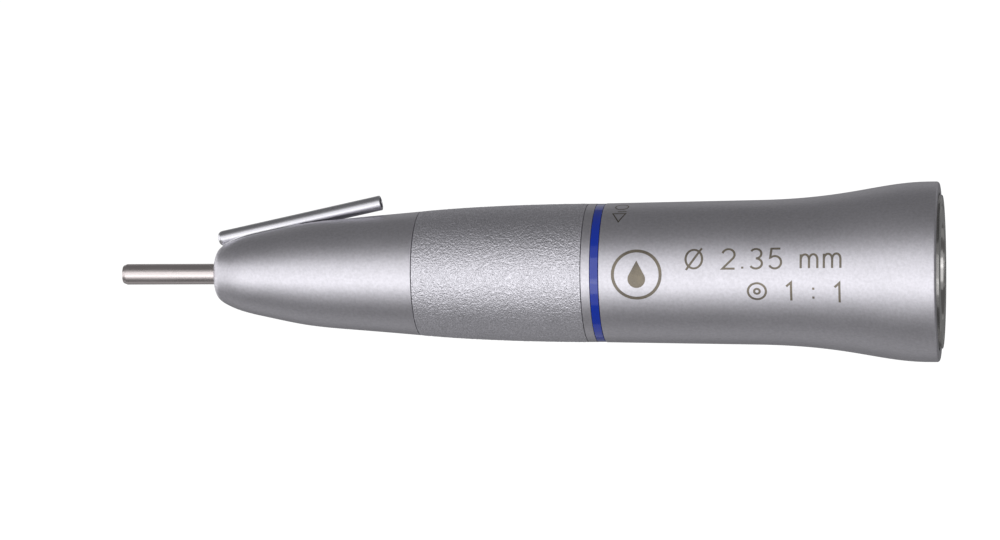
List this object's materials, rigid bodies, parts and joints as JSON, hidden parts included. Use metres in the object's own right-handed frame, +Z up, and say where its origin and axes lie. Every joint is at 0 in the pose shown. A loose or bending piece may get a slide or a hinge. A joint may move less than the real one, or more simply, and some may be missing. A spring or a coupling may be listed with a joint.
{
  "type": "straight surgical handpiece",
  "caption": "Straight one-to-one surgical handpiece with a twist sleeve that opens its chuck, a motor socket, a marker ring and an external coolant tube.",
  "frame": {"origin": "middle of the coupling ring's rear face, the plane that the motor seats on, on the handpiece's axis", "axes": "+X along the axis towards the motor, so the shank points to -X; +Z up, through the coolant tube on top of the nose"},
  "size_m": [0.0933, 0.02, 0.02],
  "materials": {
    "satin_steel": "fine satin, blasted then brushed",
    "blasted_steel": "coarse bead-blasted grip",
    "polished_steel": "ground and polished",
    "tube_steel": "drawn and polished",
    "shank_steel": "ground, slightly warm",
    "bearing_steel": "ground",
    "spring_steel": "drawn wire",
    "blue_ring_plastic": "glossy blue",
    "cage_plastic": "matte brown",
    "seal_rubber": "matte black"
  },
  "bodies": {
    "casing": {"nose_cone": "satin_steel", "coolant_tube": "tube_steel", "grip_sleeve": "blasted_steel", "marker_collar": "satin_steel", "blue_ring": "blue_ring_plastic", "inner_housing": "satin_steel", "coupling_sleeve": "polished_steel", "stop_pin": "polished_steel", "front_seal": "seal_rubber", "nose_o_ring": "seal_rubber", "sleeve_o_ring": "seal_rubber", "outer_race_spacer": "polished_steel", "front_bearing_nut": "polished_steel", "rear_bearing_nut": "polished_steel", "preload_washer": "spring_steel", "front_bearing_1_outer_race": "bearing_steel", "front_bearing_2_outer_race": "bearing_steel", "rear_bearing_outer_race": "bearing_steel"},
    "sleeve": {"twist_sleeve": "satin_steel", "cam_sleeve": "polished_steel"},
    "release": {"thrust_ring": "polished_steel", "release_pin_1": "polished_steel", "release_pin_2": "polished_steel"},
    "spindle": {"spindle": "polished_steel", "front_bearing_1_inner_race": "bearing_steel", "front_bearing_2_inner_race": "bearing_steel", "rear_bearing_inner_race": "bearing_steel", "inner_race_spacer": "polished_steel", "distance_tube": "polished_steel", "spindle_lock_nut": "polished_steel", "spring_seat": "polished_steel", "drive_dog": "polished_steel"},
    "chuck": {"collet": "polished_steel", "draw_bar": "polished_steel", "draw_nut": "polished_steel", "cross_pin": "polished_steel", "chuck_spring": "spring_steel"},
    "bur": {"bur_shank": "shank_steel"},
    "front_cage_1": {"front_bearing_1_ball_cage": "cage_plastic"},
    "front_cage_2": {"front_bearing_2_ball_cage": "cage_plastic"},
    "rear_cage": {"rear_bearing_ball_cage": "cage_plastic"}
  },
  "joints": [
    {"name": "sleeve_twist", "type": "hinge", "parent": "casing", "child": "sleeve", "pos_m": [0, 0, 0], "axis": [1, 0, 0], "range_deg": [0, 45]},
    {"name": "release_slide", "type": "slide", "parent": "casing", "child": "release", "axis": [-1, 0, 0], "range_m": [0, 0.0012]},
    {"name": "spindle_spin", "type": "hinge", "parent": "casing", "child": "spindle", "pos_m": [0, 0, 0], "axis": [1, 0, 0], "continuous": true},
    {"name": "chuck_slide", "type": "slide", "parent": "spindle", "child": "chuck", "axis": [-1, 0, 0], "range_m": [0, 0.0012], "deforming": ["chuck_spring"]},
    {"name": "bur_pull", "type": "slide", "parent": "chuck", "child": "bur", "axis": [-1, 0, 0], "range_m": [0, 0.034]},
    {"name": "front_cage_1_spin", "type": "hinge", "parent": "casing", "child": "front_cage_1", "pos_m": [0, 0, 0], "axis": [1, 0, 0], "continuous": true},
    {"name": "front_cage_2_spin", "type": "hinge", "parent": "casing", "child": "front_cage_2", "pos_m": [0, 0, 0], "axis": [1, 0, 0], "continuous": true},
    {"name": "rear_cage_spin", "type": "hinge", "parent": "casing", "child": "rear_cage", "pos_m": [0, 0, 0], "axis": [1, 0, 0], "continuous": true}
  ],
  "couplings": [
    {"joint": "release_slide", "follows": "sleeve_twist", "m_per_rad": 0.0015278},
    {"joint": "chuck_slide", "follows": "sleeve_twist", "m_per_rad": 0.0015278},
    {"joint": "front_cage_1_spin", "follows": "spindle_spin", "ratio": 0.4405},
    {"joint": "front_cage_2_spin", "follows": "spindle_spin", "ratio": 0.4405},
    {"joint": "rear_cage_spin", "follows": "spindle_spin", "ratio": 0.4405}
  ]
}
